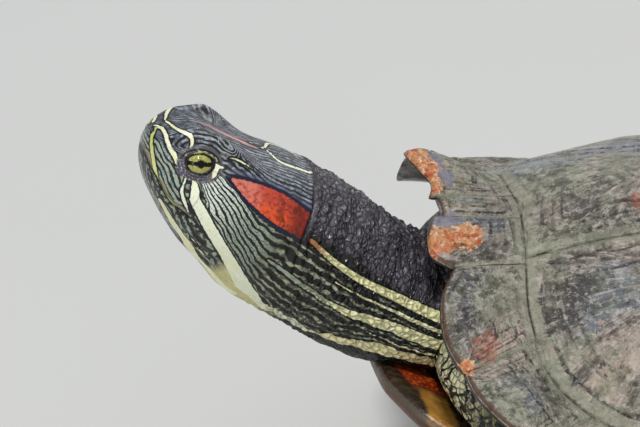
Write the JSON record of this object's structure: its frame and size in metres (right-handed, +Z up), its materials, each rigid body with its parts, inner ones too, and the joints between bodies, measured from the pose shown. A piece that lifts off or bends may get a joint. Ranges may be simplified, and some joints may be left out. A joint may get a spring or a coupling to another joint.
{
  "type": "red-eared slider turtle",
  "caption": "Adult freshwater turtle standing still, front raised on its forelegs, neck stretched up and forward, with a striped head and a red patch behind the eye.",
  "frame": {"origin": "bottom centre of the bounding box, on the floor the turtle stands on", "axes": "+X towards the head, +Y to the turtle's left, +Z up"},
  "size_m": [0.3068, 0.2534, 0.1395],
  "materials": {
    "scute": "wet horn under a thin film of algae",
    "scute_flared": "wet horn worn to its orange layer",
    "plastron": "wet amber horn with dark blotches",
    "skin": "wet granular skin, near black with pale yellow stripes",
    "head_skin": "wet smooth skin, blue-green with cream stripes and a red patch",
    "eye": "wet clear cornea over a yellow-green iris with a dark bar"
  },
  "bodies": {
    "root": {"nuchal": "scute", "vertebral_1": "scute", "vertebral_2": "scute", "vertebral_3": "scute", "vertebral_4": "scute", "vertebral_5": "scute", "costal_left_1": "scute", "costal_left_2": "scute", "costal_left_3": "scute", "costal_left_4": "scute", "marginal_left_1": "scute_flared", "marginal_left_2": "scute", "marginal_left_3": "scute", "marginal_left_4": "scute", "marginal_left_5": "scute", "marginal_left_6": "scute", "marginal_left_7": "scute", "marginal_left_8": "scute", "marginal_left_9": "scute", "marginal_left_10": "scute", "marginal_left_11": "scute", "marginal_left_12": "scute", "costal_right_1": "scute", "costal_right_2": "scute", "costal_right_3": "scute", "costal_right_4": "scute", "marginal_right_1": "scute_flared", "marginal_right_2": "scute", "marginal_right_3": "scute", "marginal_right_4": "scute", "marginal_right_5": "scute", "marginal_right_6": "scute", "marginal_right_7": "scute", "marginal_right_8": "scute", "marginal_right_9": "scute", "marginal_right_10": "scute", "marginal_right_11": "scute", "marginal_right_12": "scute", "plastron": "plastron", "trunk": "skin", "neck": "skin", "foreleg_left": "skin", "foreleg_right": "skin", "hindleg_left": "skin", "hindleg_right": "skin", "tail": "skin", "head": "head_skin", "jaw_lower": "head_skin", "eye_left": "eye", "eye_right": "eye"}
  },
  "joints": []
}
